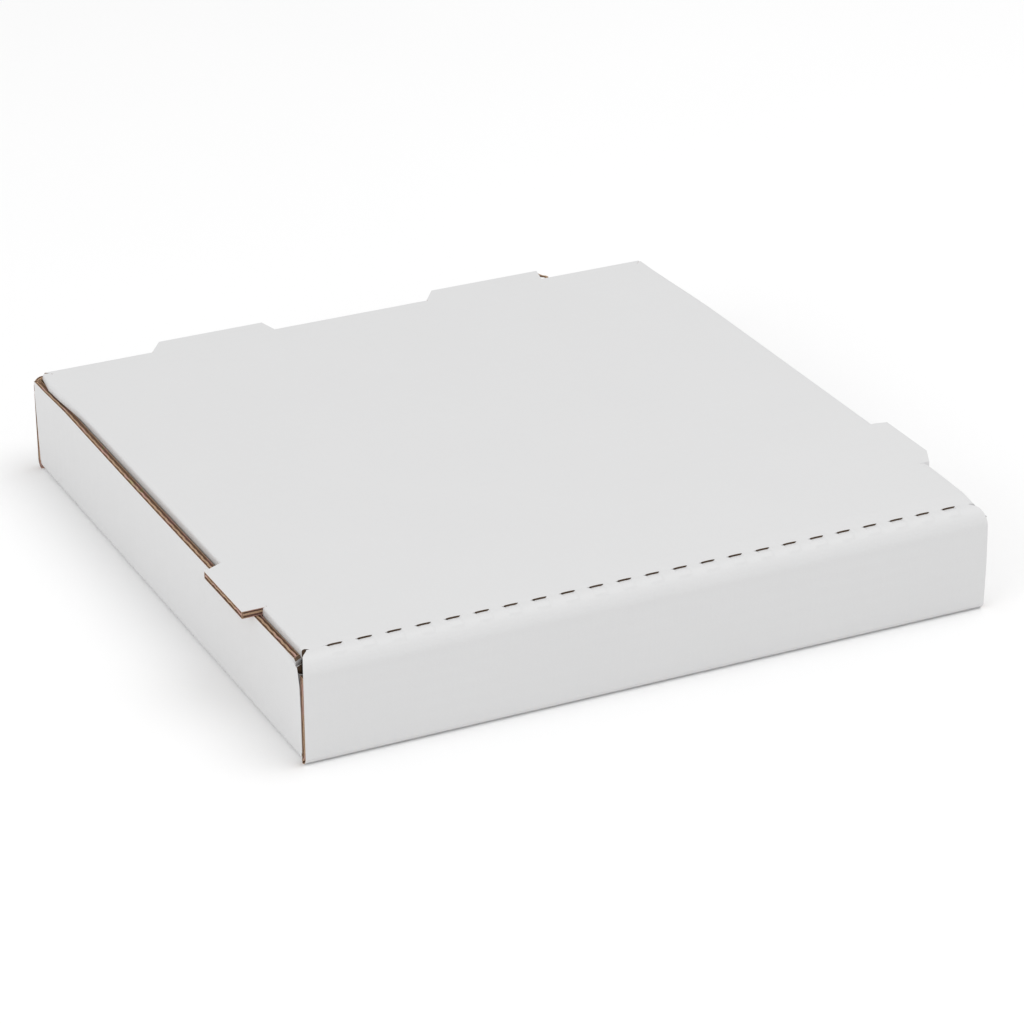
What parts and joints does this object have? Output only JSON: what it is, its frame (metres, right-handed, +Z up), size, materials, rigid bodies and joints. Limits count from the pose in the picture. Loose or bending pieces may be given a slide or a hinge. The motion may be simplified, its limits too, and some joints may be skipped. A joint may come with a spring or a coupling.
{
  "type": "pizza box",
  "caption": "Square folded corrugated pizza box: a shallow tray and a hinged tuck-in lid with side ears and front tabs, white outside and brown kraft inside.",
  "frame": {"origin": "centre of the tray's underside, on the table", "axes": "+Z up through the lid, +Y towards the hinge wall, -Y towards the opening edge, X along the hinge"},
  "size_m": [0.3222, 0.321, 0.0472],
  "materials": {
    "white_corrugated_board": "matt white printed-grade liner outside, plain brown kraft liner and fluting on the inside and at the cut edges"
  },
  "bodies": {
    "tray": {"tray": "white_corrugated_board"},
    "lid": {"lid": "white_corrugated_board"}
  },
  "joints": [
    {"name": "lid_hinge", "type": "hinge", "parent": "tray", "child": "lid", "pos_m": [0, 0.1495, 0.0472], "axis": [-1, 0, 0], "range_deg": [0, 180]}
  ]
}
